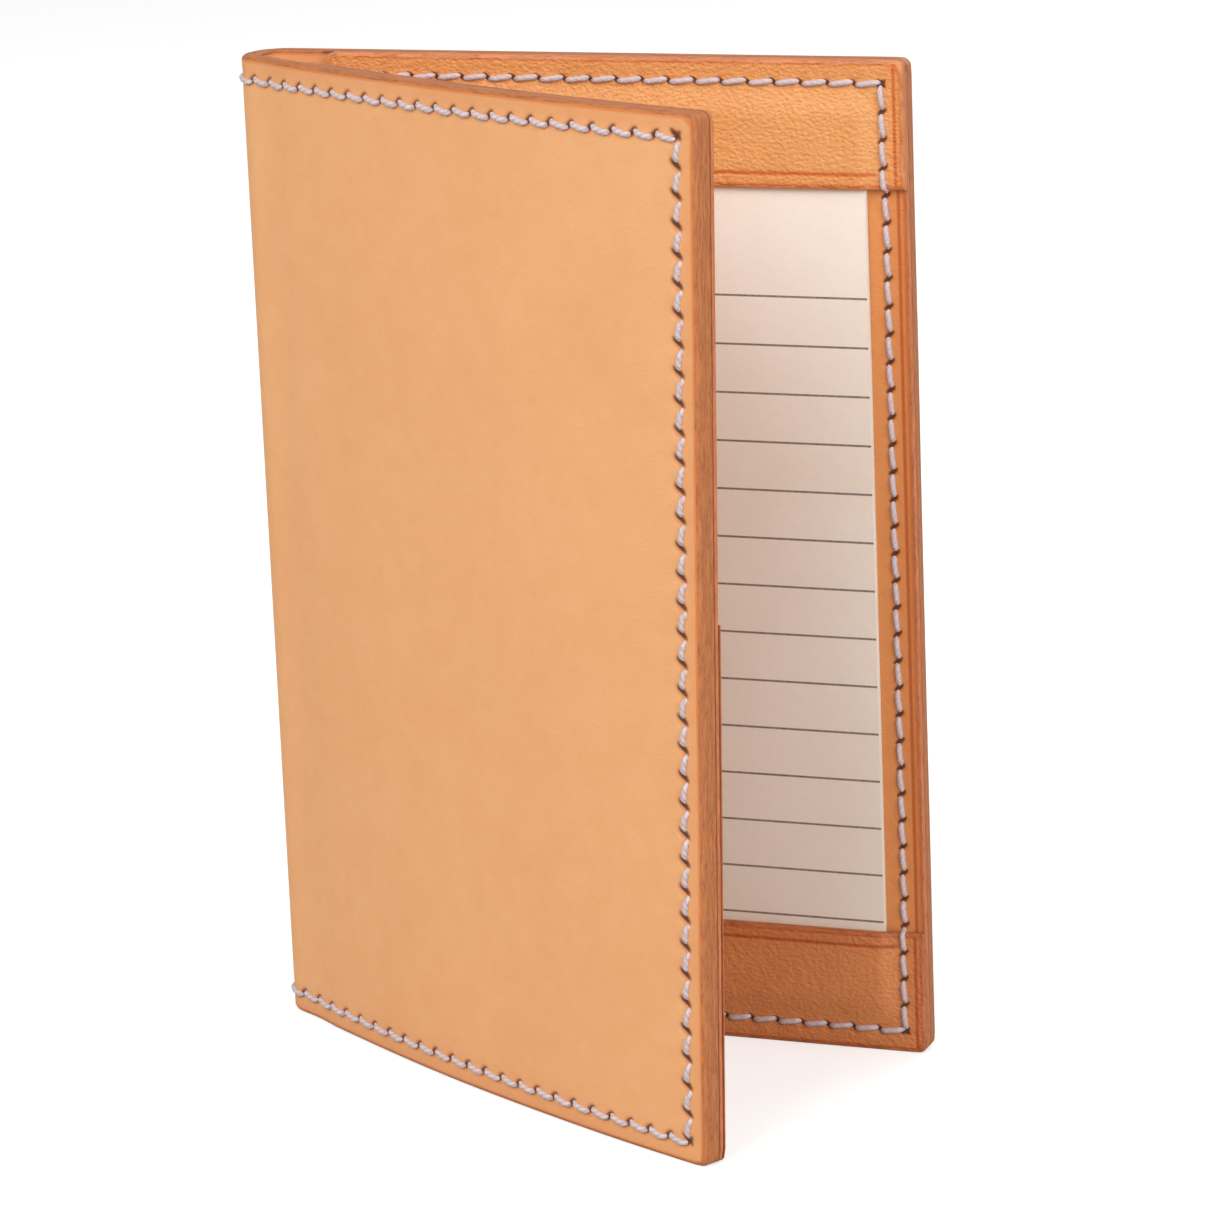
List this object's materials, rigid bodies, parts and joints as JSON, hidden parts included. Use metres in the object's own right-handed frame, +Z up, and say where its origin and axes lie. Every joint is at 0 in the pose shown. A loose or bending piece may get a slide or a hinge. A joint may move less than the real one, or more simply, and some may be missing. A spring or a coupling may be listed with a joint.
{
  "type": "leather notebook cover",
  "caption": "Upright folding leather cover that holds loose ruled cards under stitched strips, with a slip pocket in its front.",
  "frame": {"origin": "centre of the standing object's footprint, on the surface that its tail rests on", "axes": "+Z up along the fold, +X from the fold towards the back cover's fore-edge, +Y out of the back cover's outer face; the front cover stands open on the -Y side"},
  "size_m": [0.0926, 0.051, 0.134],
  "materials": {
    "outer_leather": "satin natural vegetable-tanned grain with burnished edges",
    "lining_leather": "satin natural vegetable-tanned grain",
    "strip_leather": "glazed natural vegetable-tanned grain with creased edges",
    "pocket_leather": "satin natural vegetable-tanned grain",
    "thread": "waxed linen",
    "card": "smooth uncoated card with printed rules"
  },
  "bodies": {
    "back_cover": {"back_panel": "outer_leather", "back_lining": "lining_leather", "top_strip": "strip_leather", "bottom_strip": "strip_leather", "back_top_stitches": "thread", "back_side_stitches": "thread", "back_bottom_stitches": "thread"},
    "spine": {"spine_panel": "outer_leather", "spine_top_stitches": "thread", "spine_bottom_stitches": "thread"},
    "front_cover": {"front_panel": "outer_leather", "front_lining": "lining_leather", "slip_pocket": "pocket_leather", "front_top_stitches": "thread", "front_side_stitches": "thread", "front_bottom_stitches": "thread"},
    "card_stack": {"bottom_card": "card", "third_card": "card", "second_card": "card"},
    "top_card": {"top_card": "card"}
  },
  "joints": [
    {"name": "spine_fold", "type": "hinge", "parent": "back_cover", "child": "spine", "pos_m": [-0.04072, 0.02379, 0], "axis": [0, 0, -1], "range_deg": [-14, 76]},
    {"name": "front_fold", "type": "hinge", "parent": "spine", "child": "front_cover", "pos_m": [-0.04253, 0.01651, 0], "axis": [0, 0, -1], "range_deg": [-14, 76]},
    {"name": "card_stack_slide", "type": "slide", "parent": "back_cover", "child": "card_stack", "axis": [1, 0, 0], "range_m": [-0.006, 0.0009]},
    {"name": "top_card_slide", "type": "slide", "parent": "back_cover", "child": "top_card", "axis": [1, 0, 0], "range_m": [-0.006, 0.0009]}
  ],
  "couplings": [
    {"joint": "front_fold", "follows": "spine_fold", "ratio": 1}
  ]
}
